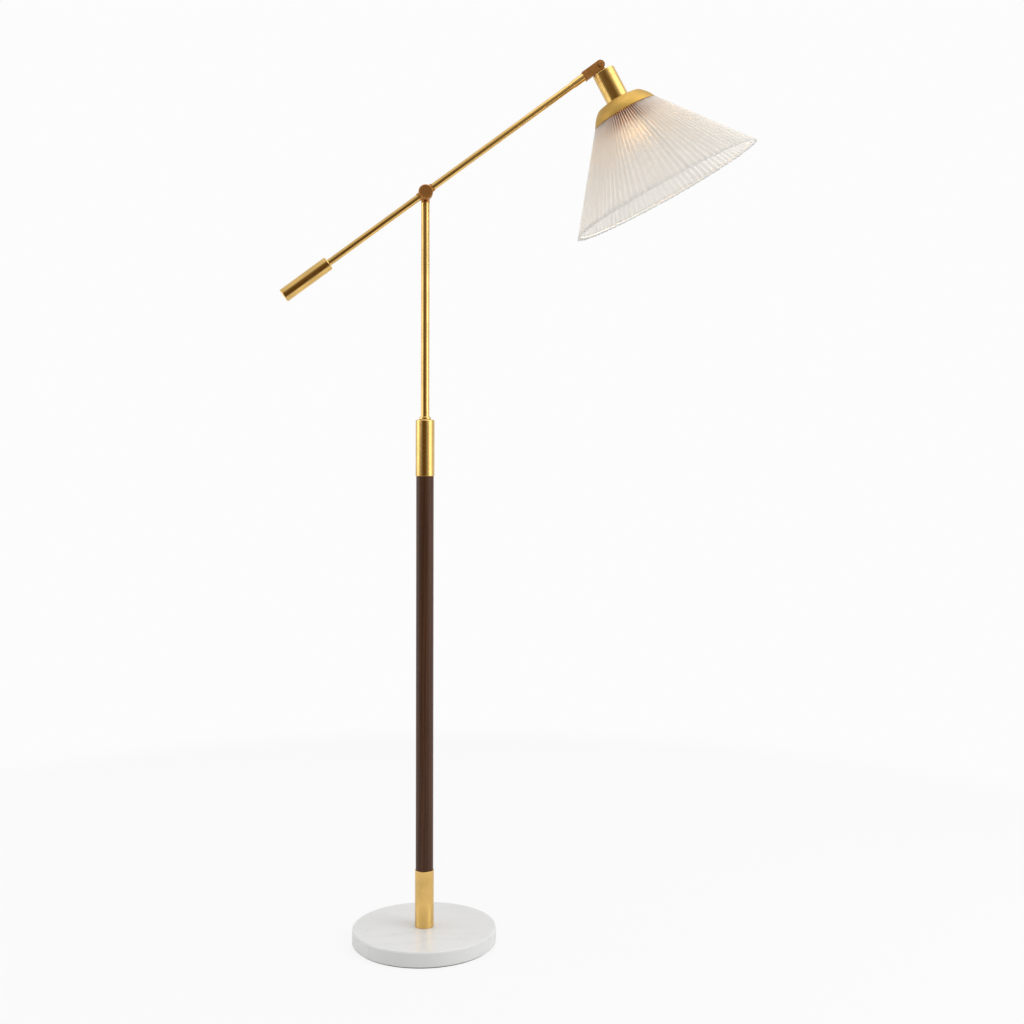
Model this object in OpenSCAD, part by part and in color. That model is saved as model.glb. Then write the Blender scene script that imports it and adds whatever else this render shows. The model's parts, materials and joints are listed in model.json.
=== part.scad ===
// Bridge floor lamp: a marble foot, a walnut column between brass ferrules, a slim post that swivels in the
// upper ferrule, and a counterweighted arm that carries a pleated cone shade.
// Millimetres, +Z up. The origin is on the floor under the middle of the foot, and the arm rises towards +X.

/* [Foot] */
// Diameter of the marble disc
foot_d = 254; // [220:1:300]
// Thickness of the marble disc
foot_h = 26; // [24:1:40]
// Radius of the marble's rounded edges
foot_edge_r = 3; // [1:0.5:6]
// Thickness of the felt pad
pad_h = 2; // [1.5:0.5:4]

/* [Column] */
// Diameter of the walnut column
column_d = 31; // [30:0.5:36]
// Length of the walnut between the ferrules
column_len = 697; // [500:1:900]
// Outer diameter of both ferrules
ferrule_d = 33.5; // [33:0.5:40]
// Length of each ferrule
ferrule_len = 100; // [90:5:120]

/* [Post] */
// Outer diameter of the slim post
post_d = 15; // [14.5:0.5:16]
// Bore of the slim post
post_bore_d = 11; // [10:0.5:11]
// Height of the arm's pivot above the floor
pivot_z = 1325; // [1200:1:1500]

/* [Arm] */
// Angle of the arm above the horizontal
arm_angle = 37; // [0:1:60]
// Outer diameter of the arm tube
arm_d = 12; // [11:0.5:12.5]
// Bore of the arm tube
arm_bore_d = 9.4; // [8:0.2:9.6]
// Distance from the pivot to the knuckle's hinge
arm_reach = 388; // [300:1:450]
// Diameter of the round pivot block
pivot_d = 25.5; // [24:0.5:30]

/* [Counterweight] */
// Diameter of the counterweight
weight_d = 24.5; // [22:0.5:30]
// Length of the counterweight
weight_len = 97; // [90:1:120]
// Distance from the pivot to the counterweight's near end
weight_from = 212; // [150:1:240]

/* [Lamp head] */
// Angle of the head's axis from straight down
head_angle = 28.5; // [28:0.5:60]
// Width of the knuckle
knuckle_w = 16; // [14:0.5:16.5]
// Thickness of the knuckle along its hinge
knuckle_t = 14; // [12:0.5:16]
// Diameter of the socket cup
cup_d = 41.5; // [41.5:0.5:46]
// Length of the socket cap and cup together
cup_len = 55.5; // [54:0.5:57]
// Length of the cap above the seam
cap_len = 15.7; // [12:0.1:20]
// Diameter of the shade holder's rim
holder_d = 121; // [119:1:125]

/* [Shade] */
// Number of pleats round the shade
pleats = 94; // [88:2:104]
// Width of one pleat's face, the same from top to mouth
pleat_face = 6.9; // [6.6:0.1:8]
// Mean radius of the pleats at the top
shade_top_r = 57.6; // [56:0.1:58.5]
// Mean radius of the pleats at the mouth
shade_mouth_r = 178.5; // [170:0.5:184]
// Length of the shade along its axis
shade_len = 156; // [150:1:170]
// Thickness of the pleated sheet
sheet_t = 0.6; // [0.5:0.1:0.8]
// Diameter of the bulb's globe
bulb_d = 60; // [50:1:66]

/* [Hidden] */

$fn = 96;
eps = 0.01;        // overshoot of a cutting tool past a face
run_gap = 0.05;    // radial clearance of a turning fit
face_gap = 0.2;    // clearance between turning faces

brass = "goldenrod";
bronze = [0.38, 0.25, 0.13];
steel = "silver";
walnut = [0.27, 0.16, 0.1];

// Column, from the floor up
foot_top = pad_h + foot_h;
wood_z0 = foot_top + ferrule_len;
wood_z1 = wood_z0 + column_len;
ferrule_top = wood_z1 + ferrule_len;
spigot_d = column_d - 3;
spigot_len = 40;
tie_d = 10;
tie_bore_d = 7;
recess_d = 56;
recess_h = 14;
washer_h = 2.5;
nut_h = 6;
nut_d = 19.6;      // across the corners
cord_d = 8;        // hole for the cord in the foot's edge
cord_z = pad_h + 7;
cord_bore_d = 5.4;
barrel_len = 14;   // of the cord's bushing, in the foot's edge
flange_h = 1.6;
tie_hole_d = tie_d + 1;
tie_z0 = pad_h + 4;
ferrule_floor = 5;
web_z0 = wood_z1 + spigot_len + 1;
web_h = 12;
bushing_z0 = web_z0 + web_h;
bushing_d = 25;

// Swivel of the post
post_z0 = bushing_z0 + 2;
washer_t = 0.8;
collar_z0 = ferrule_top + washer_t + face_gap;
collar_d = 20.5;
collar_h = 4.2;
groove_z = ferrule_top - 24;
groove_w = 7;
groove_r = 6.3;
stop_screw_d = 5;
stop_key_angle = 16;

// Pivot: the lug stands on the post, and the arm's block is in front of it
lug_t = 13.4;
lug_d = pivot_d - 4;
block_t = 16;
block_y = -(lug_t / 2 + face_gap + washer_t + block_t / 2);
stud_d = 8;
post_z1 = pivot_z - 16;
nut_flat_h = 7;

// Counterweight: the tube ends short of its far end, and a grub screw clamps it near the other one
weight_end = 16;
weight_screw_d = 4;
weight_screw_x = -weight_from - 14;

// Knuckle and head, measured from the hinge
knuckle_len = 36;
lap_clear = 9.2;
hinge_d = 5;
cup_z0 = 12.5;
cup_z1 = cup_z0 + cup_len;
cup_wall = 1.2;
holder_rim_z = cup_z0 + 84.5;
shade_z0 = holder_rim_z + 0.3;
skirt_d = 38.6;    // threaded skirt of the lampholder
skirt_z1 = cup_z1 + 12;
shell_z0 = skirt_z1 - 24.5;
holder_t = 1.2;
spider_z = cup_z1 + holder_t + 0.1;
spider_t = 2;
spider_r = 23.2;
ring_wire_d = 3;
rib_wire_d = 2.4;
rib_count = 3;
shell_d = 29;      // bore of the lampholder
contact_d = 4;
bulb_neck_r = 13.2;
bulb_z0 = skirt_z1 - 2;

// Points of an arc about [cx, cy] from angle a0 to angle a1
function arc(cx, cy, r, a0, a1, steps = 8) =
  [for (i = [0 : steps]) let (a = a0 + (a1 - a0) * i / steps) [cx + r * cos(a), cy + r * sin(a)]];

// Half section of a disc or rod with rounded ends: radius r, height h, edge radii e0 below and e1 above
function round_rod(r, h, e0, e1) =
  concat([[0, 0]], arc(r - e0, e0, e0, -90, 0), arc(r - e1, h - e1, e1, 0, 90), [[0, h]]);

// Half section of a rod with chamfered ends
function chamfer_rod(r, h, c) = [[0, 0], [r - c, 0], [r, c], [r, h - c], [r - c, h], [0, h]];

// A tube standing on z
module tube(outer_d, inner_d, z, h) {
  translate([0, 0, z])
    difference() {
      cylinder(d = outer_d, h = h);
      translate([0, 0, -eps]) cylinder(d = inner_d, h = h + 2 * eps);
    }
}

// A cylinder along +X that starts at x
module rod_x(d, x, len) {
  translate([x, 0, 0]) rotate([0, 90, 0]) cylinder(d = d, h = len);
}

// A cylinder along +Y that starts at y
module rod_y(d, y, len) {
  translate([0, y, 0]) rotate([-90, 0, 0]) cylinder(d = d, h = len);
}

// Arm's frame: the origin at the pivot, +X along the arm towards the head
module in_arm() {
  translate([0, block_y, pivot_z]) rotate([0, -arm_angle, 0]) children();
}

// Head's frame: the origin at the knuckle's hinge, +Z along the head towards the mouth of the shade
module in_head() {
  translate([arm_reach * cos(arm_angle), block_y, pivot_z + arm_reach * sin(arm_angle)])
    rotate([0, 180 - head_angle, 0]) children();
}

// ---- Foot ----

module base_pad() {
  color("dimgray") cylinder(d = foot_d - 8, h = pad_h);
}

module marble_base() {
  color("whitesmoke")
    difference() {
      translate([0, 0, pad_h]) rotate_extrude() polygon(round_rod(foot_d / 2, foot_h, 2, foot_edge_r));
      cylinder(d = tie_hole_d, h = foot_top + 1);
      cylinder(d = recess_d, h = pad_h + recess_h);
      translate([0, 0, cord_z]) rod_y(cord_d, recess_d / 2 - 4, foot_d / 2);
    }
}

module clamp_washer() {
  color(steel) tube(44, tie_d, pad_h + recess_h - washer_h, washer_h);
}

module base_nut() {
  color(steel)
    translate([0, 0, pad_h + recess_h - washer_h - nut_h])
      difference() {
        cylinder(d = nut_d, h = nut_h, $fn = 6);
        translate([0, 0, -eps]) cylinder(d = tie_d, h = nut_h + 2 * eps);
      }
}

// Plastic bushing in the foot's edge: a barrel in the hole and a flange outside it
module cord_bushing() {
  color([0.1, 0.1, 0.1])
    translate([0, 0, cord_z])
      difference() {
        union() {
          rod_y(cord_d, foot_d / 2 - barrel_len, barrel_len);
          rod_y(cord_d + 4, foot_d / 2, flange_h);
        }
        rod_y(cord_bore_d, foot_d / 2 - barrel_len - 1, barrel_len + flange_h + 2);
      }
}

// ---- Column ----

module tie_tube() {
  color(steel) tube(tie_d, tie_bore_d, tie_z0, bushing_z0 - 2 - tie_z0);
}

module lower_ferrule() {
  color(brass)
    translate([0, 0, foot_top])
      difference() {
        rotate_extrude() polygon(round_rod(ferrule_d / 2, ferrule_len, 0.8, 0.5));
        translate([0, 0, ferrule_floor]) cylinder(d = spigot_d, h = ferrule_len);
        translate([0, 0, -eps]) cylinder(d = tie_d, h = ferrule_floor + 1);
      }
}

module walnut_column() {
  color(walnut)
    difference() {
      union() {
        translate([0, 0, wood_z0]) cylinder(d = column_d, h = column_len);
        translate([0, 0, wood_z0 - spigot_len]) cylinder(d = spigot_d, h = column_len + 2 * spigot_len);
      }
      translate([0, 0, wood_z0 - spigot_len - eps])
        cylinder(d = tie_hole_d, h = column_len + 2 * spigot_len + 2 * eps);
    }
}

// Upper ferrule: a socket for the wood below, a web on the tie tube, and the swivel's housing above
module upper_ferrule() {
  color(brass)
    difference() {
      translate([0, 0, wood_z1]) rotate_extrude() polygon(round_rod(ferrule_d / 2, ferrule_len, 0.8, 2.2));
      translate([0, 0, wood_z1 - eps]) cylinder(d = spigot_d, h = web_z0 - wood_z1 + eps);
      cylinder(d = tie_d, h = bushing_z0 + 1);
      translate([0, 0, bushing_z0]) cylinder(d = bushing_d, h = ferrule_len);
      translate([0, 0, groove_z]) rod_y(stop_screw_d, 5, ferrule_d);
    }
}

module swivel_bushing() {
  color("burlywood")
    difference() {
      tube(bushing_d, post_d + 2 * run_gap, bushing_z0, ferrule_top - bushing_z0);
      translate([0, 0, groove_z]) rod_y(stop_screw_d, 5, ferrule_d);
    }
}

module swivel_washer() {
  color("white") tube(collar_d, post_d + 1, ferrule_top, washer_t);
}

// Grub screw: its tip stands in the post's groove, keeps the post down and stops it at the key
module swivel_screw() {
  color(steel)
    translate([0, 0, groove_z])
      difference() {
        rod_y(stop_screw_d, groove_r + 0.4, ferrule_d / 2 - groove_r - 0.8);
        translate([0, ferrule_d / 2 - 3, 0]) rotate([-90, 0, 0]) cylinder(d = 2.9, h = 5, $fn = 6);
      }
}

// ---- Post ----

module slim_post() {
  color(brass)
    difference() {
      tube(post_d, post_bore_d, post_z0, post_z1 - post_z0);
      difference() {
        tube(post_d + 2, 2 * groove_r, groove_z - groove_w / 2, groove_w);
        stop_key();
      }
    }
}

// Wedge at the front of the groove that the grub screw meets at both ends of the swing
module stop_key() {
  half = stop_key_angle / 2;
  translate([0, 0, groove_z - groove_w])
    linear_extrude(2 * groove_w) polygon([[0, 0], [-post_d * sin(half), -post_d * cos(half)],
                                          [post_d * sin(half), -post_d * cos(half)]]);
}

module post_collar() {
  color(brass)
    difference() {
      translate([0, 0, collar_z0]) rotate_extrude() polygon(round_rod(collar_d / 2, collar_h, 0.4, 1.6));
      translate([0, 0, collar_z0 - eps]) cylinder(d = post_d, h = collar_h + 1);
    }
}

// Lug on the post: a spigot in the tube, a stem with flats and a round eye for the arm's stud
module post_head() {
  spigot = 20;
  stem_h = 12;
  color(bronze)
    difference() {
      union() {
        translate([0, 0, post_z1 - spigot]) cylinder(d = post_bore_d, h = spigot + 1);
        translate([0, 0, post_z1]) cylinder(d = post_d, h = stem_h);
        translate([0, -lug_t / 2, pivot_z])
          rotate([-90, 0, 0]) rotate_extrude() polygon(chamfer_rod(lug_d / 2, lug_t, 0.8));
      }
      // Flats in front of the eye, for the turning block, and behind it, for the nut
      for (y = [-lug_t / 2 - post_d, lug_t / 2])
        translate([-post_d, y, post_z1 + 2]) cube([2 * post_d, post_d, 2 * post_d]);
      translate([0, 0, pivot_z]) rod_y(stud_d + 2 * run_gap, -lug_t, 2 * lug_t);
      translate([0, 0, post_z1 - spigot - eps]) cylinder(d = 6, h = spigot + 6);
    }
}

// ---- Arm ----

// Round block with a dished face, short sleeves where the arm leaves it and the pivot's stud behind
module arm_block() {
  sleeve_len = 32;
  dish_r = pivot_d / 2 - 2.6;
  color(bronze)
    in_arm()
      difference() {
        union() {
          translate([0, -block_t / 2, 0]) rotate([-90, 0, 0])
            rotate_extrude()
              polygon([[0, 0.5], [dish_r, 0.5], [dish_r + 0.5, 0], [pivot_d / 2 - 1.2, 0], [pivot_d / 2, 1.2],
                       [pivot_d / 2, block_t - 0.6], [pivot_d / 2 - 0.6, block_t], [0, block_t]]);
          rod_x(arm_d + 2, -sleeve_len / 2, sleeve_len);
          rod_y(stud_d, block_t / 2 - 1, 1 + washer_t + lug_t + 2 * face_gap + nut_flat_h);
        }
        rod_x(arm_d, -sleeve_len, 2 * sleeve_len);
      }
}

module friction_washer() {
  color("darkred")
    translate([0, block_y + block_t / 2, pivot_z])
      rotate([-90, 0, 0]) tube(lug_d - 1, stud_d, 0, washer_t);
}

// Domed cap nut behind the lug
module pivot_nut() {
  nut_y = lug_t / 2 + face_gap;
  color(bronze)
    translate([0, nut_y, pivot_z])
      rotate([-90, 0, 0])
        difference() {
          rotate_extrude()
            polygon(concat([[0, 0], [8.6, 0], [9, 0.4], [9, 3]], arc(0, 3, 8, 0, 90, 10)));
          translate([0, 0, -eps]) cylinder(d = stud_d, h = nut_flat_h + eps);
        }
}

module arm_tube() {
  tail = weight_from + weight_len - weight_end - 1;
  color(brass)
    in_arm()
      difference() {
        rod_x(arm_d, -tail, tail + arm_reach - knuckle_len);
        rod_x(arm_bore_d, -tail - 1, tail + arm_reach);
        translate([weight_screw_x, 0, 0]) rotate([180, 0, 0]) cylinder(d = weight_screw_d, h = arm_d);
      }
}

module counterweight() {
  color(brass)
    in_arm()
      difference() {
        translate([-weight_from - weight_len, 0, 0]) rotate([0, 90, 0])
          rotate_extrude()
            polygon([[0, 0.8], [weight_d / 2 - 3, 0.8], [weight_d / 2 - 2.2, 0], [weight_d / 2 - 1.2, 0],
                     [weight_d / 2, 1.2], [weight_d / 2, weight_len - 1.2],
                     [weight_d / 2 - 1.2, weight_len], [0, weight_len]]);
        rod_x(arm_d, -weight_from - weight_len + weight_end, weight_len);
        translate([weight_screw_x, 0, 0]) rotate([180, 0, 0]) cylinder(d = weight_screw_d, h = weight_d);
      }
}

module counterweight_screw() {
  color(steel)
    in_arm()
      translate([weight_screw_x, 0, -weight_d / 2 + 0.6])
        difference() {
          cylinder(d = weight_screw_d, h = weight_d / 2 - arm_bore_d / 2 - 0.6);
          translate([0, 0, -eps]) cylinder(d = 2.3, h = 2, $fn = 6);
        }
}

module arm_end_sleeve() {
  sleeve_len = 25;
  color(brass)
    in_arm()
      difference() {
        translate([arm_reach - knuckle_len - sleeve_len, 0, 0]) rotate([0, 90, 0])
          rotate_extrude() polygon(chamfer_rod(arm_d / 2 + 1, sleeve_len, 0.5));
        rod_x(arm_d, 0, arm_reach);
      }
}

// ---- Knuckle ----

// Side outline of the arm's half: a bar with a round end at the hinge
module knuckle_outline() {
  union() {
    circle(d = knuckle_w);
    translate([-knuckle_len, -knuckle_w / 2]) square([knuckle_len, knuckle_w]);
  }
}

// A plate in the X-Z plane from y0 to y1
module plate_xz(y0, y1) {
  translate([0, y1, 0]) rotate([90, 0, 0]) linear_extrude(y1 - y0) children();
}

module knuckle_arm_half() {
  spigot = 16;
  color(bronze)
    in_arm()
      translate([arm_reach, 0, 0])
        difference() {
          union() {
            plate_xz(-knuckle_t / 2, knuckle_t / 2) knuckle_outline();
            rod_x(arm_bore_d, -knuckle_len - spigot, spigot + 1);
          }
          // Rear half cut away for the head's half
          translate([-lap_clear, -face_gap / 2, -knuckle_w])
            cube([3 * knuckle_w, knuckle_t, 2 * knuckle_w]);
          rod_y(hinge_d, -knuckle_t, 2 * knuckle_t);
          rod_x(5, -knuckle_len - spigot - 1, spigot + 20);
        }
}

module knuckle_screw() {
  head_h = 1.8;
  color(bronze)
    in_arm()
      translate([arm_reach, 0, 0])
        difference() {
          union() {
            rod_y(hinge_d, -knuckle_t / 2 - eps, knuckle_t + 4);
            translate([0, -knuckle_t / 2, 0]) rotate([90, 0, 0])
              rotate_extrude() polygon([[0, 0], [4.6, 0], [4.6, head_h - 0.7], [3.9, head_h], [0, head_h]]);
          }
          translate([-6, -knuckle_t / 2 - head_h - 1, -0.5]) cube([12, 1.9, 1]);
        }
}

module knuckle_nut() {
  color(bronze)
    in_arm()
      translate([arm_reach, knuckle_t / 2 + face_gap, 0])
        rotate([-90, 0, 0])
          difference() {
            cylinder(d = 9.2, h = 3.6, $fn = 6);
            translate([0, 0, -eps]) cylinder(d = hinge_d, h = 4);
          }
}

// Head's half: an eye behind the arm's half, a neck, a round flange on the cap and a hollow threaded stem
module knuckle_head_half() {
  neck_w = 12;
  full_from = 10;
  stem_len = 12;
  color(bronze)
    in_head()
      difference() {
        union() {
          plate_xz(face_gap / 2, knuckle_t / 2)
            union() {
              circle(d = knuckle_w);
              translate([-neck_w / 2, 0]) square([neck_w, cup_z0]);
            }
          plate_xz(-knuckle_t / 2, knuckle_t / 2)
            translate([-neck_w / 2, full_from]) square([neck_w, cup_z0 - full_from]);
          translate([0, 0, cup_z0 - 1.5]) cylinder(d = 20, h = 1.5);
          translate([0, 0, cup_z0 - eps]) cylinder(d = tie_d, h = stem_len);
        }
        rod_y(hinge_d + 2 * run_gap, -knuckle_t, 2 * knuckle_t);
        translate([0, 0, full_from]) cylinder(d = 6, h = 20);
      }
}

module cap_lock_nut() {
  color(steel)
    in_head()
      translate([0, 0, cup_z0 + 3])
        difference() {
          cylinder(d = 16, h = 4, $fn = 6);
          translate([0, 0, -eps]) cylinder(d = tie_d, h = 5);
        }
}

// ---- Socket ----

module socket_cap() {
  color(brass)
    in_head()
      translate([0, 0, cup_z0])
        difference() {
          rotate_extrude()
            polygon(concat([[0, 0]], arc(cup_d / 2 - 1.8, 1.8, 1.8, -90, 0),
                           [[cup_d / 2, cap_len - 0.3], [cup_d / 2 - 0.3, cap_len], [0, cap_len]]));
          translate([0, 0, 3]) cylinder(d = cup_d - 2 * cup_wall, h = cap_len);
          translate([0, 0, -eps]) cylinder(d = tie_d, h = 4);
        }
}

module socket_cup() {
  wall_in = cup_d / 2 - cup_wall;
  color(brass)
    in_head()
      rotate_extrude()
        polygon([[wall_in, cup_z0 + cap_len], [cup_d / 2 - 0.5, cup_z0 + cap_len],
                 [cup_d / 2, cup_z0 + cap_len + 0.5], [cup_d / 2, cup_z1], [skirt_d / 2, cup_z1],
                 [skirt_d / 2, cup_z1 - 1.2], [wall_in, cup_z1 - 1.2]]);
}

// Insulating lampholder with a threaded skirt that comes out of the cup
module lampholder() {
  body_z0 = cup_z0 + cap_len + 2;
  color("ivory")
    in_head()
      difference() {
        union() {
          translate([0, 0, body_z0]) cylinder(d = 36, h = cup_z1 - body_z0);
          translate([0, 0, cup_z1 - 8]) cylinder(d = skirt_d, h = skirt_z1 - cup_z1 + 8);
        }
        translate([0, 0, shell_z0]) cylinder(d = shell_d, h = skirt_z1);
        translate([0, 0, body_z0 - eps]) cylinder(d = contact_d, h = skirt_z1 - body_z0);
      }
}

module screw_shell() {
  color(brass) in_head() tube(shell_d, shell_d - 1.4, shell_z0 + 2, skirt_z1 - shell_z0 - 3);
}

// Riveted contact: a shank through the insulator and a head at the bottom of the socket
module centre_contact() {
  shank = 12;
  color(brass)
    in_head()
      union() {
        translate([0, 0, shell_z0 - shank]) cylinder(d = contact_d, h = shank);
        translate([0, 0, shell_z0]) cylinder(d = 9, h = 1);
      }
}

// ---- Shade holder ----

// Spun bell: a flat seat under the cup, a shallow shoulder, a tight turn and a skirt that swells out to a
// rolled rim
module shade_holder() {
  t = holder_t;
  seat_r = 24;
  bead_r = 1;
  bead_in = 0.7;
  turn_r = 6;
  skirt_r = 64;
  seat_a = -75;
  turn_a = -50;
  rim_a = -24;
  rim = [holder_d / 2, holder_rim_z] - [bead_r, bead_r];
  skirt = rim + [bead_in, 0] - skirt_r * [cos(rim_a), sin(rim_a)];
  turn = skirt + (skirt_r - turn_r) * [cos(turn_a), sin(turn_a)];
  outer = concat([[seat_r, cup_z1]], arc(turn[0], turn[1], turn_r, seat_a, turn_a, 5),
                 arc(skirt[0], skirt[1], skirt_r, turn_a + 3, rim_a, 7));
  inner = concat([[seat_r - 0.8, cup_z1 + t]], arc(turn[0], turn[1], turn_r - t, seat_a, turn_a, 5),
                 arc(skirt[0], skirt[1], skirt_r - t, turn_a + 3, rim_a, 7));
  color(brass)
    in_head()
      union() {
        rotate_extrude()
          polygon(concat([[skirt_d / 2, cup_z1 + t], [skirt_d / 2, cup_z1]], outer,
                         [for (i = [len(inner) - 1 : -1 : 0]) inner[i]]));
        rotate_extrude() translate(rim) circle(r = bead_r, $fn = 24);
      }
}

module holder_ring_nut() {
  color(brass)
    in_head()
      difference() {
        translate([0, 0, spider_z + spider_t]) rotate_extrude() polygon(chamfer_rod(21.8, 6, 0.6));
        translate([0, 0, spider_z]) cylinder(d = skirt_d, h = 12);
      }
}

// ---- Shade ----

// Radius at which a ring of wire just fits inside the folds, a share t of the way down
function ring_r(t, wire_d) =
  fold_r(t, 1, -1) - (wire_d / 2 + 0.3) * norm([shade_len, shade_mouth_r - shade_top_r]) / shade_len;
top_share = 0.05;
mouth_share = 0.98;
ring_top_r = ring_r(top_share, ring_wire_d);
ring_top_z = shade_z0 + top_share * shade_len;
ring_mouth_r = ring_r(mouth_share, ring_wire_d);
ring_mouth_z = shade_z0 + mouth_share * shade_len;

// A ring of round wire about the head's axis
module wire_ring(r, z, wire_d) {
  rotate_extrude() translate([r, z]) circle(d = wire_d, $fn = 24);
}

// A straight round wire from [r0, z0] to [r1, z1], turned about the head's axis
module wire_rib(r0, z0, r1, z1, wire_d, turn) {
  rotate([0, 0, turn]) translate([r0, 0, z0])
    rotate([0, atan2(r1 - r0, z1 - z0), 0])
      cylinder(d = wire_d, h = norm([r1 - r0, z1 - z0]), $fn = 24);
}

// Ring clamped on the lampholder, with three spokes that run out to the shade's top ring
module shade_spider() {
  color(steel)
    in_head()
      difference() {
        union() {
          translate([0, 0, spider_z]) cylinder(r = spider_r, h = spider_t);
          for (i = [0 : rib_count - 1])
            wire_rib(spider_r - 0.4, spider_z + rib_wire_d / 2, ring_top_r, ring_top_z, rib_wire_d,
                     90 + i * 120);
        }
        translate([0, 0, spider_z - 4]) cylinder(d = skirt_d, h = 12);
        wire_ring(ring_top_r, ring_top_z, ring_wire_d);
      }
}

module shade_top_ring() {
  color("white") in_head() wire_ring(ring_top_r, ring_top_z, ring_wire_d);
}

module shade_mouth_ring() {
  color("white") in_head() wire_ring(ring_mouth_r, ring_mouth_z, ring_wire_d);
}

module shade_ribs() {
  color("white")
    in_head()
      difference() {
        for (i = [0 : rib_count - 1])
          wire_rib(ring_top_r, ring_top_z, ring_mouth_r, ring_mouth_z, rib_wire_d, 30 + i * 120);
        wire_ring(ring_top_r, ring_top_z, ring_wire_d);
        wire_ring(ring_mouth_r, ring_mouth_z, ring_wire_d);
      }
}

// Pleated sheet. Every pleat's face keeps its width, so the folds are deep and close at the top and shallow
// and wide at the mouth. A fold's half pitch, its depth and its face are the sides of a right triangle.
shade_rings = 5;
folds = 2 * pleats;
function mean_r(t) = shade_top_r + (shade_mouth_r - shade_top_r) * t;
function half_pitch(t) = PI * mean_r(t) / pleats;
function fold_depth(t) = sqrt(pow(pleat_face, 2) - pow(half_pitch(t), 2));
function wall_r(t) = sheet_t * pleat_face / half_pitch(t);
function fold_r(t, i, side) = mean_r(t) + (i % 2 == 0 ? 0.5 : -0.5) * fold_depth(t) + side * wall_r(t) / 2;
function fold_point(t, i, side) =
  let (a = 360 * i / folds, r = fold_r(t, i, side)) [r * cos(a), r * sin(a), shade_z0 + shade_len * t];

// Two triangles for the quad a-b-c-d
function quad(a, b, c, d) = [[a, b, c], [a, c, d]];

module pleated_shade() {
  last = shade_rings - 1;
  skin = shade_rings * folds;
  points = [for (side = [1, -1]) for (k = [0 : last]) for (i = [0 : folds - 1])
            fold_point(k / last, i, side)];
  at = function (side, k, i) side * skin + k * folds + i % folds;
  outside = [for (k = [0 : last - 1]) for (i = [0 : folds - 1])
             each quad(at(0, k, i), at(0, k + 1, i), at(0, k + 1, i + 1), at(0, k, i + 1))];
  inside = [for (k = [0 : last - 1]) for (i = [0 : folds - 1])
            each quad(at(1, k, i), at(1, k, i + 1), at(1, k + 1, i + 1), at(1, k + 1, i))];
  top_edge = [for (i = [0 : folds - 1])
              each quad(at(0, 0, i), at(0, 0, i + 1), at(1, 0, i + 1), at(1, 0, i))];
  mouth_edge = [for (i = [0 : folds - 1])
                each quad(at(0, last, i), at(1, last, i), at(1, last, i + 1), at(0, last, i + 1))];
  color("ivory") in_head() polyhedron(points, concat(outside, inside, top_edge, mouth_edge));
}

// ---- Bulb ----

module bulb_cap() {
  cap_z = shell_z0 + 1.2;
  color(steel)
    in_head()
      rotate_extrude()
        polygon([[0, cap_z], [4.4, cap_z], [4.4, cap_z + 1], [12, cap_z + 5], [bulb_neck_r, cap_z + 6.2],
                 [bulb_neck_r, bulb_z0], [0, bulb_z0]]);
}

// Half outline of the glass, drawn in by inset: a neck that swells into the globe
function bulb_outline(inset) =
  let (globe_r = bulb_d / 2 - inset, neck_r = bulb_neck_r - inset, globe_z = 50)
  concat([for (i = [0 : 7]) let (u = i / 8)
            [neck_r + (0.93 * globe_r - neck_r) * (1 - cos(180 * u)) / 2, (globe_z - 11) * u]],
         arc(0, globe_z, globe_r, -21, 90, 12));

module bulb_glass() {
  shell = bulb_outline(1);
  color("white")
    in_head()
      translate([0, 0, bulb_z0])
        rotate_extrude()
          polygon(concat(bulb_outline(0), [for (i = [len(shell) - 1 : -1 : 0]) shell[i]]));
}

base_pad();
marble_base();
clamp_washer();
base_nut();
cord_bushing();
tie_tube();
lower_ferrule();
walnut_column();
upper_ferrule();
swivel_bushing();
swivel_washer();
swivel_screw();
slim_post();
post_collar();
post_head();
arm_block();
friction_washer();
pivot_nut();
arm_tube();
counterweight();
counterweight_screw();
arm_end_sleeve();
knuckle_arm_half();
knuckle_screw();
knuckle_nut();
knuckle_head_half();
cap_lock_nut();
socket_cap();
socket_cup();
lampholder();
screw_shell();
centre_contact();
shade_holder();
holder_ring_nut();
shade_spider();
shade_top_ring();
shade_mouth_ring();
shade_ribs();
pleated_shade();
bulb_cap();
bulb_glass();
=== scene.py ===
"""Bridge floor lamp: its finishes, the cloth of its pleated shade, the camera and the studio.

Metres, +Z up. The camera stands on the -Y side, and the arm rises towards +X.
"""
import json
import math

import bpy
import numpy as np
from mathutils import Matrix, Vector


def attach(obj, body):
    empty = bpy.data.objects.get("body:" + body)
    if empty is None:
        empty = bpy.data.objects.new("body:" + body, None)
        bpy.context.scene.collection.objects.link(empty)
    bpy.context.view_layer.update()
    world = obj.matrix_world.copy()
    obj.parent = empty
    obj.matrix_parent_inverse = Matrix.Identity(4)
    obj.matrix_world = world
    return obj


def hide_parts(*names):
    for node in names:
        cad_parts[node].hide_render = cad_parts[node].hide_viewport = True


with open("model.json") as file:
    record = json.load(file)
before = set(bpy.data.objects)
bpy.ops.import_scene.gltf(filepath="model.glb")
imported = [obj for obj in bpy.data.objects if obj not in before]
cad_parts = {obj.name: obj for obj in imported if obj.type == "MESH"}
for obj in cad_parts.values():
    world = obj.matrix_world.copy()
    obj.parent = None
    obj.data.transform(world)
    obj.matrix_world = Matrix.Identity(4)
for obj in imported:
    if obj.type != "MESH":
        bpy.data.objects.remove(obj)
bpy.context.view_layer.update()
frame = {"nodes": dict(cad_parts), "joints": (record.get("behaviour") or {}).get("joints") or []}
NODES = frame["nodes"]
JOINT = {joint["name"]: joint for joint in frame["joints"]}

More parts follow.
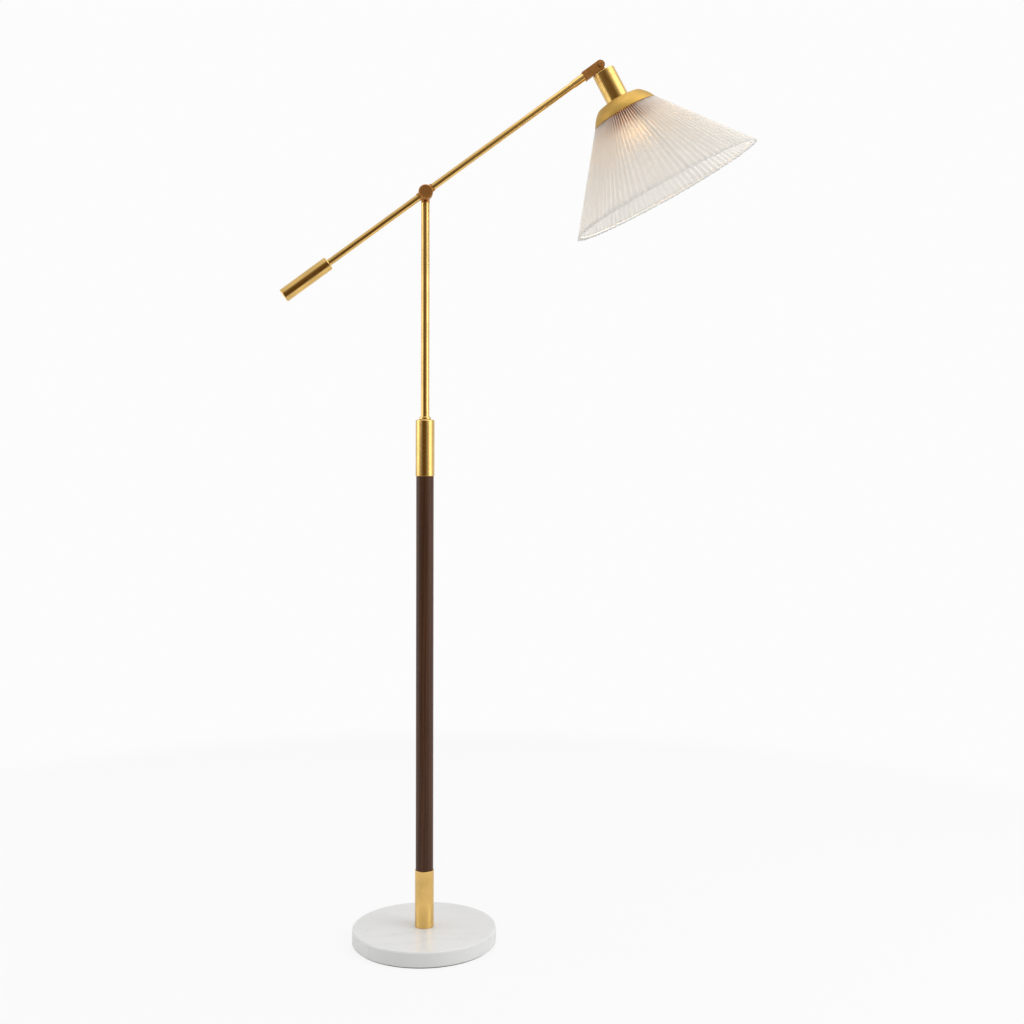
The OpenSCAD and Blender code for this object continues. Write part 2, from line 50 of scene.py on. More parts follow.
# Places taken from the frame
PIVOT = np.array(JOINT["arm_tilt"]["pos_m"])
HINGE = np.array(JOINT["head_tilt"]["pos_m"])
ARM_ANGLE = math.atan2(HINGE[2] - PIVOT[2], HINGE[0] - PIVOT[0])

# Head: its axis leans by this much from straight down, and its heights are measured from the hinge
HEAD_ANGLE = math.radians(28.5)
HEAD_TURN = math.pi - HEAD_ANGLE
GLOBE_Z = 0.128        # middle of the bulb's globe

# Pleated cloth
PLEATS = 94
FACE = 0.0069          # width of a pleat's face, measured across the head's axis
TOP_R = 0.0576         # mean radius at the top
MOUTH_R = 0.1785       # mean radius at the mouth
SHADE_Z0 = 0.0973      # height of the top edge
SHADE_LEN = 0.156      # from the top edge to the mouth
CREASE = math.hypot(SHADE_LEN, MOUTH_R - TOP_R)    # length of a crease
SHEET_T = 0.0004       # thickness
SHARP = 0.988          # sharpness of the folds, below 1
SCALLOP = 0.35         # share of the creases' difference in drop that the mouth's edge shows
TUCK = 0.003           # how far the folds that go in reach up inside the holder's rim

# Unevenness of folds made by hand, as standard deviations
STRAY_SIDEWAYS = 0.03  # in pleats, at the mouth
STRAY_BOW = 0.012      # in pleats, half way down
STRAY_PROUD = 0.0002   # outwards, at the mouth
STRAY_LENGTH = 0.0002  # in a crease's length


# ---- Meshes ----

def head_frame(points):
    """Points of the head's own frame, with z along the head towards the mouth, in the lamp's frame: a turn
    about y by HEAD_TURN, then a shift to the hinge."""
    c, s = math.cos(HEAD_TURN), math.sin(HEAD_TURN)
    turn = np.array([[c, 0, s], [0, 1, 0], [-s, 0, c]])
    return points @ turn.T + HINGE


def mesh_object(name, points, faces, uv=None):
    """A smooth-shaded mesh object at the origin, with an optional UV map given per point."""
    mesh = bpy.data.meshes.new(name)
    mesh.from_pydata(points.tolist(), [], faces.tolist())
    if uv is not None:
        corner = np.zeros(len(mesh.loops), np.int32)
        mesh.loops.foreach_get("vertex_index", corner)
        mesh.uv_layers.new(name="cloth").data.foreach_set("uv", uv[corner].astype(np.float32).ravel())
    mesh.polygons.foreach_set("use_smooth", np.ones(len(mesh.polygons), bool))
    made = bpy.data.objects.new(name, mesh)
    bpy.context.scene.collection.objects.link(made)
    return made


def shell_faces(rows, columns):
    """Quads of a closed shell from two skins of rows by columns points, the outer one first. The columns run
    round and meet. The two skins are joined along the first and the last row."""
    row, column = np.meshgrid(np.arange(rows - 1), np.arange(columns), indexing="ij")
    after = (column + 1) % columns
    a, b = row * columns + column, row * columns + after
    c, d = (row + 1) * columns + after, (row + 1) * columns + column
    outer = np.stack([a, d, c, b], -1).reshape(-1, 4)
    inner = outer[:, ::-1] + rows * columns
    column = np.arange(columns)
    after = (column + 1) % columns
    skin, last = rows * columns, (rows - 1) * columns
    top = np.stack([column, after, skin + after, skin + column], -1)
    mouth = np.stack([last + column, skin + last + column, skin + last + after, last + after], -1)
    return np.concatenate([outer, inner, top, mouth])


def unevenness(turn, down):
    """How far the folds stray sideways (in pleats), outwards and in length (in metres). Each fold has its own
    seeded random values, joined by straight lines round the shade. Sideways and outwards they grow from a
    fifth at the top to the whole at the mouth, and half a sine wave down bows each crease a little."""
    random = np.random.default_rng(7)
    fold = np.arange(2 * PLEATS + 1) / 2 + 0.25

    def stray(size):
        value = random.normal(0, size, 2 * PLEATS)
        return np.interp(turn, fold, np.append(value, value[0]), period=PLEATS)

    grown = 0.2 + 0.8 * down
    sideways = stray(STRAY_SIDEWAYS) * grown + stray(STRAY_BOW) * np.sin(math.pi * down)
    proud = stray(STRAY_PROUD) * grown
    length = stray(STRAY_LENGTH)
    return sideways, proud, length


def pleated_shade():
    """Accordion-pleated cone, as a function of the way round (in pleats) and the share down (0 to 1).

    The mean radius grows in proportion to the share down. Measured across the head's axis each face keeps its
    width, so a fold's depth is the third side of the triangle of the face and half the pitch. Between folds
    the radius follows arcsin(sharp * sin(angle)) / arcsin(sharp), a triangle wave with slightly rounded
    folds. The creases are nearly equal in length, so the folds that stand out reach a little lower than those
    that go in, and leave small scallops. At the top the folds that go in reach up inside the holder's rim."""
    # The points lie closer together at the folds, which are at a quarter and three quarters of each pleat
    half_pleat = np.array([0, 0.09, 0.17, 0.22, 0.25, 0.28, 0.33, 0.41])
    pleat = np.concatenate([half_pleat, half_pleat + 0.5])
    turn = (np.arange(PLEATS)[:, None] + pleat).ravel()
    rows = 25
    down = np.linspace(0, 1, rows)[:, None]
    sideways, proud, length = unevenness(turn, down)

    mean = TOP_R + (MOUTH_R - TOP_R) * down
    half_pitch = math.pi * mean / PLEATS
    depth = np.sqrt(FACE ** 2 - half_pitch ** 2)
    wave = np.arcsin(SHARP * np.sin(2 * math.pi * turn)) / math.asin(SHARP)
    radius = mean + depth * wave / 2 + proud
    drop = np.sqrt((CREASE + length) ** 2 - (radius[-1] - radius[0]) ** 2)
    height = SHADE_Z0 + down * (SHADE_LEN + length + SCALLOP * (drop - SHADE_LEN))
    height[0] -= TUCK * np.clip(-wave, 0, 1)
    angle = 2 * math.pi * (turn + sideways) / PLEATS

    # A face slants across the radius, and along the radius its thickness grows by face over half pitch
    wall = SHEET_T * FACE / half_pitch
    skins = []
    for side in (1, -1):
        reach = radius + side * wall / 2
        skins.append(np.stack([reach * np.cos(angle), reach * np.sin(angle), height], -1).reshape(-1, 3))
    across = np.broadcast_to(turn * 2 * FACE, radius.shape)
    along = np.broadcast_to(down * CREASE, radius.shape)
    uv = np.stack([across, along], -1).reshape(-1, 2)
    shade = mesh_object("shade_cloth", head_frame(np.concatenate(skins)), shell_faces(rows, len(turn)),
                        np.concatenate([uv, uv]))
    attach(shade, "head")
    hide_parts("pleated_shade")

    return shade


# ---- Shader helpers ----

def node(tree, kind, inputs=None, **settings):
    """Adds a node. settings are its own properties. inputs maps a socket's name or number to a value or to
    the socket that feeds it."""
    made = tree.nodes.new(kind)
    for name, value in settings.items():
        setattr(made, name, value)
    for name, value in (inputs or {}).items():
        if isinstance(value, bpy.types.NodeSocket):
            tree.links.new(value, made.inputs[name])
        else:
            made.inputs[name].default_value = value
    return made


def feed(tree, target, values):
    """Links each value's socket to the target's input of that name."""
    for name, value in values.items():
        tree.links.new(value, target.inputs[name])


def maths(tree, operation, a, b=0.0):
    """One operation on one or two values."""
    return node(tree, "ShaderNodeMath", {0: a, 1: b}, operation=operation).outputs[0]


def mix(tree, factor, a, b):
    """Colour a where factor is 0 and b where it is 1. Sockets 6, 7 and 2 are the node's colour ones."""
    return node(tree, "ShaderNodeMix", {0: factor, 6: a, 7: b}, data_type="RGBA").outputs[2]


def span(tree, value, low, high, to_low=0.0, to_high=1.0):
    """Value between low and high as a smooth step from to_low to to_high."""
    return node(tree, "ShaderNodeMapRange",
                {"Value": value, "From Min": low, "From Max": high, "To Min": to_low, "To Max": to_high},
                interpolation_type="SMOOTHSTEP").outputs[0]


def stretch(tree, vector, factors):
    """The vector with its three parts multiplied by factors. A factor below 1 draws a pattern out that way,
    and one above 1 squeezes it."""
    return node(tree, "ShaderNodeVectorMath", {0: vector, 1: factors}, operation="MULTIPLY").outputs[0]


def dot(tree, a, b):
    """Dot product of two vectors."""
    return node(tree, "ShaderNodeVectorMath", {0: a, 1: b}, operation="DOT_PRODUCT").outputs["Value"]


def noise(tree, vector, scale, detail=3.0, rough=0.55, distortion=0.0):
    """Cloudy values between 0 and 1, with about scale clouds to the metre."""
    return node(tree, "ShaderNodeTexNoise", {"Vector": vector, "Scale": scale, "Detail": detail,
                                             "Roughness": rough, "Distortion": distortion}).outputs[0]


def bump(tree, height, distance, strength):
    """Normal of a surface raised by height times distance, in metres. strength is how much of it shows."""
    return node(tree, "ShaderNodeBump",
                {"Height": height, "Distance": distance, "Strength": strength}).outputs[0]


def group(name, inputs, outputs):
    """An empty node group with named sockets: inputs and outputs map a name to its kind."""
    made = bpy.data.node_groups.new(name, "ShaderNodeTree")
    kinds = {"value": "NodeSocketFloat", "vector": "NodeSocketVector"}
    for way, sockets in (("INPUT", inputs), ("OUTPUT", outputs)):
        for socket, kind in sockets.items():
            made.interface.new_socket(socket, in_out=way, socket_type=kinds[kind])
    return made, node(made, "NodeGroupInput").outputs, node(made, "NodeGroupOutput")


def use(tree, which, inputs):
    """Places a node group and returns its outputs."""
    return node(tree, "ShaderNodeGroup", inputs, node_tree=which).outputs


# ---- Effects that several materials share ----

def make_edge_wear_and_highlight():
    """Mask of the outer edges, where handling has rubbed the finish and where brass gets a painted highlight:
    the smoothed normal leaves the true one there. Noise breaks the line up."""
    tree, given, out = group("edge_wear_and_highlight", {"Vector": "vector", "Width": "value"}, {"Mask": "value"})
    rounded = node(tree, "ShaderNodeBevel", {"Radius": given["Width"]}, samples=6).outputs[0]
    true = node(tree, "ShaderNodeNewGeometry").outputs["Normal"]
    edge = span(tree, dot(tree, rounded, true), 0.975, 0.85)
    broken = span(tree, noise(tree, given["Vector"], scale=260.0), 0.35, 0.6)
    feed(tree, out, {"Mask": maths(tree, "MULTIPLY", edge, broken)})
    return tree


def make_turned():
    """Fine lines that run round a turned piece, whose own axis is the vector's z: noise squeezed along z."""
    tree, given, out = group("turned_lines", {"Vector": "vector", "Fineness": "value"},
                             {"Height": "value", "Sheen": "value"})
    squeezed = stretch(tree, given["Vector"], (12.0, 12.0, 900.0))
    lines = noise(tree, squeezed, given["Fineness"], detail=2.0, rough=0.5)
    feed(tree, out, {"Height": lines, "Sheen": span(tree, lines, 0.3, 0.7, -1.0, 1.0)})
    return tree


def make_handling():
    """Broad, soft smudges and thinning of the lacquer."""
    tree, given, out = group("handling", {"Vector": "vector", "Size": "value"}, {"Smudge": "value"})
    broad = noise(tree, given["Vector"], given["Size"], detail=5.0, rough=0.6)
    feed(tree, out, {"Smudge": span(tree, broad, 0.35, 0.68)})
    return tree


def make_grain():
    """Small pits and lumps of a cast, moulded or fired surface."""
    tree, given, out = group("cast_grain", {"Vector": "vector", "Fineness": "value"},
                             {"Height": "value", "Fleck": "value"})
    fine = noise(tree, given["Vector"], given["Fineness"], detail=5.0, rough=0.6)
    feed(tree, out, {"Height": fine, "Fleck": span(tree, fine, 0.55, 0.75)})
    return tree


EDGE_WEAR_AND_HIGHLIGHT = make_edge_wear_and_highlight()
TURNED = make_turned()
HANDLING = make_handling()
GRAIN = make_grain()


# ---- Materials ----

def material(name):
    """A new material, its node tree, its main shader and its object coordinates."""
    made = bpy.data.materials.new(name)
    made.use_nodes = True
    tree = made.node_tree
    shader = tree.nodes["Principled BSDF"]
    coords = node(tree, "ShaderNodeTexCoord").outputs["Object"]
    return made, tree, shader, coords


def own_axis(tree, coords, place, turn):
    """Object coordinates moved to a piece's own frame: origin at place, and a turn back about y."""
    return node(tree, "ShaderNodeMapping", {"Vector": coords, "Location": tuple(place),
                                            "Rotation": (0.0, turn, 0.0)}, vector_type="TEXTURE").outputs[0]


def brass(name, place=(0, 0, 0), turn=0.0, rough=0.21, tint=(0.84, 0.545, 0.175), coat=0.25):
    """Lacquered brass, turned or drawn: fine lines round its axis, soft smudges, and paler edges that are
    partly rubbed lacquer and partly a painted highlight.
    """
    deep = tuple(c * 0.80 for c in tint)
    pale = (min(1.0, tint[0] * 1.08), tint[1] * 1.2, tint[2] * 1.7)
    made, tree, shader, coords = material(name)
    own = own_axis(tree, coords, place, turn)
    lines = use(tree, TURNED, {"Vector": own, "Fineness": 1.0})
    smudge = use(tree, HANDLING, {"Vector": own, "Size": 22.0})["Smudge"]
    wear_and_highlight = use(tree, EDGE_WEAR_AND_HIGHLIGHT, {"Vector": own, "Width": 0.0007})["Mask"]
    colour = mix(tree, smudge, (*tint, 1), (*deep, 1))
    # Paler edges: partly rubbed lacquer, partly a painted highlight along the edges
    colour = mix(tree, wear_and_highlight, colour, (*pale, 1))
    roughness = maths(tree, "ADD", maths(tree, "MULTIPLY", lines["Sheen"], 0.012),
                      span(tree, smudge, 0.0, 1.0, rough, rough + 0.07))
    feed(tree, shader, {"Base Color": colour, "Roughness": roughness,
                        "Normal": bump(tree, lines["Height"], distance=0.00002, strength=0.02)})
    shader.inputs["Metallic"].default_value = 1.0
    shader.inputs["Coat Weight"].default_value = coat
    shader.inputs["Coat Roughness"].default_value = 0.12
    return made


def bronze(name, place=(0, 0, 0), turn=0.0):
    """Dark patinated bronze with its edges rubbed lighter."""
    brown, dark, rubbed = (0.50, 0.235, 0.068, 1), (0.37, 0.17, 0.048, 1), (0.66, 0.40, 0.14, 1)
    made, tree, shader, coords = material(name)
    own = own_axis(tree, coords, place, turn)
    grain = use(tree, GRAIN, {"Vector": own, "Fineness": 900.0})
    smudge = use(tree, HANDLING, {"Vector": own, "Size": 60.0})["Smudge"]
    wear_and_highlight = use(tree, EDGE_WEAR_AND_HIGHLIGHT, {"Vector": own, "Width": 0.0009})["Mask"]
    colour = mix(tree, smudge, brown, dark)
    colour = mix(tree, maths(tree, "MULTIPLY", wear_and_highlight, 0.6), colour, rubbed)
    feed(tree, shader, {"Base Color": colour, "Roughness": span(tree, smudge, 0, 1, 0.46, 0.56),
                        "Normal": bump(tree, grain["Height"], distance=0.00003, strength=0.5)})
    shader.inputs["Metallic"].default_value = 1.0
    return made


def walnut():
    """Dark walnut under a satin lacquer. The rings are distorted bands about an axis beside the column, so
    they run along it, and fine pores are noise drawn out along z."""
    early, late = (0.058, 0.020, 0.0072, 1), (0.092, 0.036, 0.0145, 1)
    streaked, hollow = (0.040, 0.014, 0.005, 1), (0.018, 0.007, 0.003, 1)
    made, tree, shader, coords = material("walnut")
    heart = node(tree, "ShaderNodeMapping", {"Vector": coords, "Location": (0.034, 0.021, 0.0),
                                             "Rotation": (0.012, 0.016, 0.0)},
                 vector_type="TEXTURE").outputs[0]
    slow = stretch(tree, heart, (1.0, 1.0, 0.06))
    rings = node(tree, "ShaderNodeTexWave", {"Vector": slow, "Scale": 68.0, "Distortion": 2.6, "Detail": 3.0,
                                             "Detail Scale": 1.4},
                 wave_type="RINGS", rings_direction="Z").outputs["Fac"]
    thin = stretch(tree, coords, (1.0, 1.0, 0.018))
    pores = span(tree, noise(tree, thin, scale=2400.0, detail=3.0, rough=0.6), 0.58, 0.72)
    streak = noise(tree, thin, scale=260.0, detail=4.0, rough=0.6)
    colour = mix(tree, rings, early, late)
    colour = mix(tree, span(tree, streak, 0.35, 0.7, 0.0, 0.75), colour, streaked)
    colour = mix(tree, maths(tree, "MULTIPLY", pores, 0.6), colour, hollow)
    raised = maths(tree, "SUBTRACT", 1.0, pores)
    feed(tree, shader, {"Base Color": colour, "Roughness": span(tree, pores, 0, 1, 0.38, 0.55),
                        "Normal": bump(tree, raised, distance=0.00006, strength=0.5)})
    shader.inputs["Specular IOR Level"].default_value = 0.25
    return made


def marble():
    """White marble, polished: clouds of faint grey and a few soft veins, which are the lines where a
    distorted noise crosses its middle value."""
    white, clouded = (0.71, 0.71, 0.695, 1), (0.64, 0.645, 0.635, 1)
    veined, crystal = (0.42, 0.42, 0.415, 1), (0.9, 0.9, 0.9, 1)
    made, tree, shader, coords = material("marble")
    turned = node(tree, "ShaderNodeMapping", {"Vector": coords, "Rotation": (0.5, 0.25, 0.62),
                                              "Scale": (1.0, 2.1, 1.4)}).outputs[0]
    bent = noise(tree, turned, scale=5.2, detail=5.0, rough=0.5, distortion=0.9)
    line = maths(tree, "ABSOLUTE", maths(tree, "SUBTRACT", bent, 0.52))
    broken = span(tree, noise(tree, turned, scale=3.1), 0.42, 0.66)
    vein = maths(tree, "MULTIPLY", span(tree, line, 0.05, 0.0), broken)
    cloud = span(tree, noise(tree, turned, scale=9.0, detail=5.0), 0.3, 0.8)
    fleck = use(tree, GRAIN, {"Vector": coords, "Fineness": 700.0})
    colour = mix(tree, maths(tree, "MULTIPLY", cloud, 0.5), white, clouded)
    colour = mix(tree, maths(tree, "MULTIPLY", vein, 0.16), colour, veined)
    colour = mix(tree, maths(tree, "MULTIPLY", fleck["Fleck"], 0.12), colour, crystal)
    feed(tree, shader, {"Base Color": colour, "Roughness": span(tree, fleck["Height"], 0.3, 0.7, 0.26, 0.34),
                        "Normal": bump(tree, fleck["Height"], distance=0.00002, strength=0.3)})
    shader.inputs["Subsurface Weight"].default_value = 0.12
    shader.inputs["Subsurface Radius"].default_value = (0.004, 0.0036, 0.003)
    return made


def plain_metal(name, tint, rough):
    """Plated steel or aluminium: turned lines, smudges and bright edges."""
    dull = tuple(c * 0.7 for c in tint)
    made, tree, shader, coords = material(name)
    lines = use(tree, TURNED, {"Vector": coords, "Fineness": 1.0})
    smudge = use(tree, HANDLING, {"Vector": coords, "Size": 60.0})["Smudge"]
    wear_and_highlight = use(tree, EDGE_WEAR_AND_HIGHLIGHT, {"Vector": coords, "Width": 0.0005})["Mask"]
    colour = mix(tree, maths(tree, "MULTIPLY", smudge, 0.35), (*tint, 1), (*dull, 1))
    colour = mix(tree, maths(tree, "MULTIPLY", wear_and_highlight, 0.5), colour, (0.85, 0.85, 0.84, 1))
    feed(tree, shader, {"Base Color": colour, "Roughness": span(tree, smudge, 0, 1, rough, rough + 0.12),
                        "Normal": bump(tree, lines["Height"], distance=0.00002, strength=0.4)})
    shader.inputs["Metallic"].default_value = 1.0
    return made


def moulded(name, tint, rough, fineness=1200.0, gloss=0.0):
    """Plastic, fibre, glazed clay or enamel: one tint with faint flecks and a fine grain."""
    pale = tuple(c + (1.0 - c) * 0.25 for c in tint)
    made, tree, shader, coords = material(name)
    grain = use(tree, GRAIN, {"Vector": coords, "Fineness": fineness})
    wear_and_highlight = use(tree, EDGE_WEAR_AND_HIGHLIGHT, {"Vector": coords, "Width": 0.0004})["Mask"]
    colour = mix(tree, maths(tree, "MULTIPLY", grain["Fleck"], 0.3), (*tint, 1), (*pale, 1))
    colour = mix(tree, maths(tree, "MULTIPLY", wear_and_highlight, 0.3), colour, (*pale, 1))
    feed(tree, shader, {"Base Color": colour,
                        "Roughness": span(tree, grain["Height"], 0.3, 0.7, rough, rough + 0.1),
                        "Normal": bump(tree, grain["Height"], distance=0.00003, strength=0.4)})
    shader.inputs["Coat Weight"].default_value = gloss
    return made


def felt():
    """Pressed grey wool: short fibres from two stretched noises."""
    shadow, wool = (0.022, 0.021, 0.020, 1), (0.085, 0.080, 0.074, 1)
    made, tree, shader, coords = material("felt")
    one, two = [noise(tree, stretch(tree, coords, way), scale=2600.0, detail=2.0)
                for way in ((1.0, 0.2, 1.0), (0.2, 1.0, 1.0))]
    fibre = maths(tree, "MAXIMUM", one, two)
    colour = mix(tree, span(tree, fibre, 0.45, 0.75), shadow, wool)
    feed(tree, shader, {"Base Color": colour, "Normal": bump(tree, fibre, distance=0.0003, strength=0.8)})
    shader.inputs["Roughness"].default_value = 0.95
    shader.inputs["Sheen Weight"].default_value = 0.3
    return made


def shade_cloth():
    """White woven cloth laid on a translucent film. It scatters studio light back and the bulb's light
    through. The weave follows the cloth's own map: two sets of fine threads, one over the other."""
    # The third colour on this line and the second on the next are painted shade for the deep folds near the
    # top
    white, slubbed, painted_shade_brown = (0.92, 0.925, 0.925, 1), (0.88, 0.885, 0.885, 1), (0.30, 0.15, 0.09, 1)
    clear_film, painted_shade_film = (0.97, 0.94, 0.89, 1), (0.42, 0.18, 0.10, 1)
    made, tree, shader, _ = material("pleated_cloth")
    flat = node(tree, "ShaderNodeUVMap", uv_map="cloth").outputs[0]
    warp, weft = [node(tree, "ShaderNodeTexWave", {"Vector": flat, "Scale": 420.0, "Distortion": 0.6,
                                                   "Detail": 1.0}, bands_direction=way).outputs["Fac"]
                  for way in ("X", "Y")]
    weave = maths(tree, "MULTIPLY", warp, weft)
    slub = span(tree, noise(tree, flat, scale=90.0), 0.4, 0.7)
    colour = mix(tree, maths(tree, "MULTIPLY", slub, 0.4), white, slubbed)

    # Painted shade: deep in the tight folds, within 50 mm of the top, the cloth is darkened and browned where
    # shade falls inside the folds
    place = node(tree, "ShaderNodeSeparateXYZ", {0: flat}).outputs
    fold = maths(tree, "SINE", maths(tree, "MULTIPLY", place["X"], math.pi / FACE))
    painted_fold_shade = maths(tree, "MULTIPLY", span(tree, fold, 0.3, -0.7), span(tree, place["Y"], 0.05, 0.004))
    colour = mix(tree, painted_fold_shade, colour, painted_shade_brown)
    feed(tree, shader, {"Base Color": colour, "Normal": bump(tree, weave, distance=0.00005, strength=0.35)})
    shader.inputs["Roughness"].default_value = 0.8
    shader.inputs["Sheen Weight"].default_value = 0.15

    # Part of the light passes through, most of it spread evenly and the rest bent a little from its way
    passed_share, ahead_share = 0.36, 0.20
    # The light passed through the deep folds near the top is darkened by the same painted shade
    passed = mix(tree, painted_fold_shade, clear_film, painted_shade_film)
    spread = node(tree, "ShaderNodeBsdfTranslucent", {"Color": passed}).outputs[0]
    ahead = node(tree, "ShaderNodeBsdfRefraction",
                 {"Color": passed, "Roughness": 0.9, "IOR": 1.45}).outputs[0]
    through = node(tree, "ShaderNodeMixShader", {0: ahead_share, 1: spread, 2: ahead}).outputs[0]
    both = node(tree, "ShaderNodeMixShader",
                {0: passed_share, 1: shader.outputs[0], 2: through}).outputs[0]

    # A ray inside the sheet's thickness leaves it freely, so the two skins act as one
    inside = node(tree, "ShaderNodeNewGeometry").outputs["Backfacing"]
    clear = node(tree, "ShaderNodeBsdfTransparent").outputs[0]
    sheet = node(tree, "ShaderNodeMixShader", {0: inside, 1: both, 2: clear}).outputs[0]
    tree.links.new(sheet, tree.nodes["Material Output"].inputs["Surface"])
    return made


def lit_glass():
    """Opal glass of the bulb, lit: brightest at the globe's far end, and dim from its middle to the neck."""
    dim, bright = (0.10, 0.042, 0.008, 1), (1.0, 0.53, 0.11, 1)
    full_z = GLOBE_Z + 0.036
    made, tree, shader, coords = material("lit_opal_glass")
    own = own_axis(tree, coords, HINGE, HEAD_TURN)
    along = node(tree, "ShaderNodeSeparateXYZ", {0: own}).outputs["Z"]
    colour = mix(tree, span(tree, along, GLOBE_Z, full_z), dim, bright)
    fleck = use(tree, GRAIN, {"Vector": own, "Fineness": 300.0})
    feed(tree, shader, {"Emission Color": colour,
                        "Normal": bump(tree, fleck["Height"], distance=0.00002, strength=0.2)})
    shader.inputs["Base Color"].default_value = (0.85, 0.85, 0.83, 1)
    shader.inputs["Emission Strength"].default_value = 21.5
    shader.inputs["Roughness"].default_value = 0.25
    return made


def paint(made, *names):
    """Gives one material to the named pieces of the frame."""
    for name in names:
        slots = NODES[name].material_slots
        if not slots:
            NODES[name].data.materials.append(made)
        for slot in slots:
            slot.material = made


def finish_nodes():
    """The finish of every piece but the shade's cloth. Brass and bronze are set to their own axis: upright on
    the stand and post, along the arm on the pivot and arm, and along the head on the knuckle and head."""
    tilt = math.pi / 2 - ARM_ANGLE
    paint(brass("brass_upright"), "lower_ferrule", "upper_ferrule", "slim_post", "post_collar")
    paint(brass("brass_arm", PIVOT, tilt), "arm_tube", "counterweight", "arm_end_sleeve")
    paint(brass("brass_head", HINGE, HEAD_TURN, rough=0.30, tint=(0.80, 0.525, 0.16)), "socket_cap",
          "socket_cup", "screw_shell", "centre_contact", "holder_ring_nut")
    paint(brass("brass_spun", HINGE, HEAD_TURN, rough=0.46, tint=(0.60, 0.375, 0.095), coat=0.0),
          "shade_holder")
    paint(bronze("bronze_pivot", PIVOT, tilt), "post_head", "arm_block", "pivot_nut")
    paint(bronze("bronze_knuckle", HINGE, HEAD_TURN), "knuckle_arm_half", "knuckle_screw", "knuckle_nut",
          "knuckle_head_half")
    paint(walnut(), "walnut_column")
    paint(marble(), "marble_base")
    paint(felt(), "base_pad")
    paint(plain_metal("plated_steel", (0.58, 0.58, 0.57), rough=0.32), "clamp_washer", "base_nut", "tie_tube",
          "swivel_screw", "counterweight_screw", "cap_lock_nut")
    paint(plain_metal("cap_aluminium", (0.72, 0.72, 0.71), rough=0.35), "bulb_cap")
    paint(moulded("black_plastic", (0.018, 0.018, 0.018), rough=0.45), "cord_bushing")
    paint(moulded("nylon", (0.80, 0.77, 0.68), rough=0.40), "swivel_bushing")
    paint(moulded("amber_nylon", (0.30, 0.19, 0.07), rough=0.40), "swivel_washer")
    paint(moulded("fibre", (0.19, 0.045, 0.03), rough=0.6), "friction_washer")
    paint(moulded("porcelain", (0.82, 0.80, 0.74), rough=0.18, fineness=500.0, gloss=0.6), "lampholder")
    paint(moulded("white_enamel", (0.93, 0.93, 0.91), rough=0.45, fineness=800.0, gloss=0.1),
          "shade_spider", "shade_top_ring", "shade_mouth_ring", "shade_ribs")
    paint(lit_glass(), "bulb_glass")


# ---- Camera ----

EYE = (-0.0634, -2.2676, 0.8345)
LENS_MM = 44.875
FILM_MM = 36.0
DOWN_SHIFT = 0.04005   # share of the picture's width
RIGHT_TURN = math.radians(5.5)
ROLL = math.radians(0.084)


def camera():
    """Level, turned a little to the right, with the picture shifted down and set straight."""
    lens = bpy.data.cameras.new("camera")
    lens.lens = LENS_MM
    lens.sensor_width = FILM_MM
    lens.shift_y = -DOWN_SHIFT
    made = bpy.data.objects.new("camera", lens)
    made.location = EYE
    made.rotation_euler = (math.pi / 2, -ROLL, -RIGHT_TURN)
    bpy.context.scene.collection.objects.link(made)
    bpy.context.scene.camera = made


# ---- Studio ----

BACKDROP = (0.973, 0.973, 0.973, 1)    # the white that the camera sees
DIM_SIDE = (-0.2, -0.98, 0.0)          # the way to the dim part of the room, behind the camera

# Each lamp's place, what it points at, its width, its height and its power in watts
LAMPS = {
    "key": ((2.25, -1.0, 1.2), (0.1, 0, 0.85), 1.6, 2.8, 23),
    "fill": ((-2.4, 0.15, 1.1), (0.0, 0, 0.8), 1.4, 2.8, 17),
    "top": ((0.3, -0.3, 3.6), (0.1, 0, 0.5), 2.0, 2.0, 16),
    "upper_right": ((1.2, -0.5, 2.7), (0.42, 0, 1.45), 1.4, 1.4, 9),
}


def area_light(name, place, target, width, height, power):
    """A rectangular lamp at place, turned towards target. The camera doesn't see it."""
    light = bpy.data.lights.new(name, "AREA")
    light.shape = "RECTANGLE"
    light.size = width
    light.size_y = height
    light.energy = power
    made = bpy.data.objects.new(name, light)
    made.location = place
    made.rotation_euler = (Vector(target) - Vector(place)).to_track_quat("-Z", "Y").to_euler()
    made.visible_camera = False
    bpy.context.scene.collection.objects.link(made)


def rays(tree):
    """Two masks: rays of the camera, straight or passed through a piece, and rays of a glossy reflection."""
    path = node(tree, "ShaderNodeLightPath").outputs
    seen = maths(tree, "MAXIMUM", path["Is Camera Ray"], path["Is Transmission Ray"])
    return seen, path["Is Glossy Ray"]


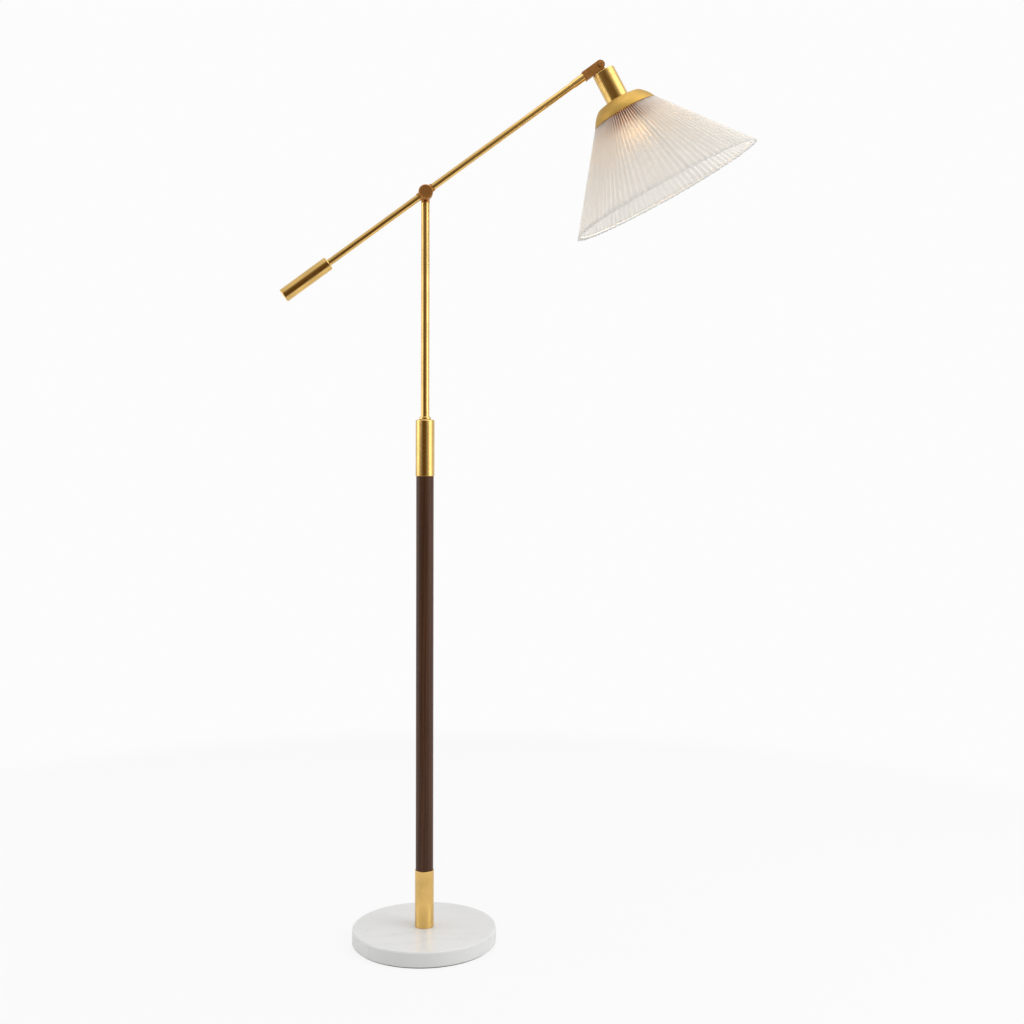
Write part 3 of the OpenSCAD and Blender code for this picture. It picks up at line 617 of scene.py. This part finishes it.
def surround():
    """The backdrop's white to the camera, and to soft light a pale grey, a little brighter on the right.
    Behind the camera both soft light and reflections find it dim."""
    left, right, dim = (0.74, 0.74, 0.75, 1), (0.86, 0.86, 0.87, 1), (0.30, 0.30, 0.30, 1)
    bright_gloss, dim_gloss = (0.80, 0.80, 0.80, 1), (0.12, 0.062, 0.010, 1)
    world = bpy.data.worlds.new("surround")
    bpy.context.scene.world = world
    world.use_nodes = True
    tree = world.node_tree
    seen, glossy = rays(tree)
    way = node(tree, "ShaderNodeTexCoord").outputs["Generated"]
    toward = dot(tree, way, DIM_SIDE)
    aside = node(tree, "ShaderNodeSeparateXYZ", {0: way}).outputs["X"]
    reflected = mix(tree, span(tree, toward, 0.68, 0.99), bright_gloss, dim_gloss)
    plain = mix(tree, span(tree, aside, -1.0, 1.0), left, right)
    plain = mix(tree, span(tree, toward, 0.60, 0.90), plain, dim)
    shown = mix(tree, glossy, plain, reflected)
    shown = mix(tree, seen, shown, BACKDROP)
    background = node(tree, "ShaderNodeBackground", {"Color": shown}).outputs[0]
    output = tree.nodes.get("World Output") or node(tree, "ShaderNodeOutputWorld")
    tree.links.new(background, output.inputs["Surface"])


def floor():
    """A wide pale floor. It keeps a faint shadow near the lamp, fades to the backdrop's white further out,
    and is dim towards the camera in what the brass reflects."""
    half = 40.0
    corners = half * np.array([[-1, -1, 0], [1, -1, 0], [1, 1, 0], [-1, 1, 0]])
    made = mesh_object("floor", corners, np.array([[0, 1, 2, 3]]))
    surface, tree, shader, coords = material("floor_paper")
    seen, glossy = rays(tree)
    reach = node(tree, "ShaderNodeVectorMath", {0: coords}, operation="LENGTH").outputs["Value"]
    shader.inputs["Base Color"].default_value = (0.80, 0.80, 0.80, 1)
    shader.inputs["Roughness"].default_value = 1.0
    shader.inputs["Specular IOR Level"].default_value = 0.0
    dim = maths(tree, "MULTIPLY", glossy, span(tree, dot(tree, coords, DIM_SIDE), 0.5, 1.3))
    glow = mix(tree, dim, BACKDROP, (0.10, 0.05, 0.012, 1))
    lit = maths(tree, "MAXIMUM", seen, glossy)
    white = node(tree, "ShaderNodeEmission", {"Color": glow, "Strength": lit}).outputs[0]

    # Near the lamp the camera sees a little of the lit paper, which keeps the shadow, under the white
    near = maths(tree, "MULTIPLY", seen, 0.86)
    share = maths(tree, "MULTIPLY", lit, maths(tree, "MAXIMUM", near, span(tree, reach, 0.6, 2.0)))
    both = node(tree, "ShaderNodeMixShader", {0: share, 1: shader.outputs[0], 2: white}).outputs[0]
    tree.links.new(both, tree.nodes["Material Output"].inputs["Surface"])
    made.data.materials.append(surface)


def studio():
    """White surround, a soft key from the right, a weaker fill from the left, one overhead and a small one
    above the shade. The room behind the camera is dim, which is what polished brass shows in its middle."""
    for name, values in LAMPS.items():
        area_light(name, *values)
    surround()
    floor()


bpy.context.scene.view_settings.view_transform = "Standard"
camera()
finish_nodes()
pleated_shade().data.materials.append(shade_cloth())
studio()
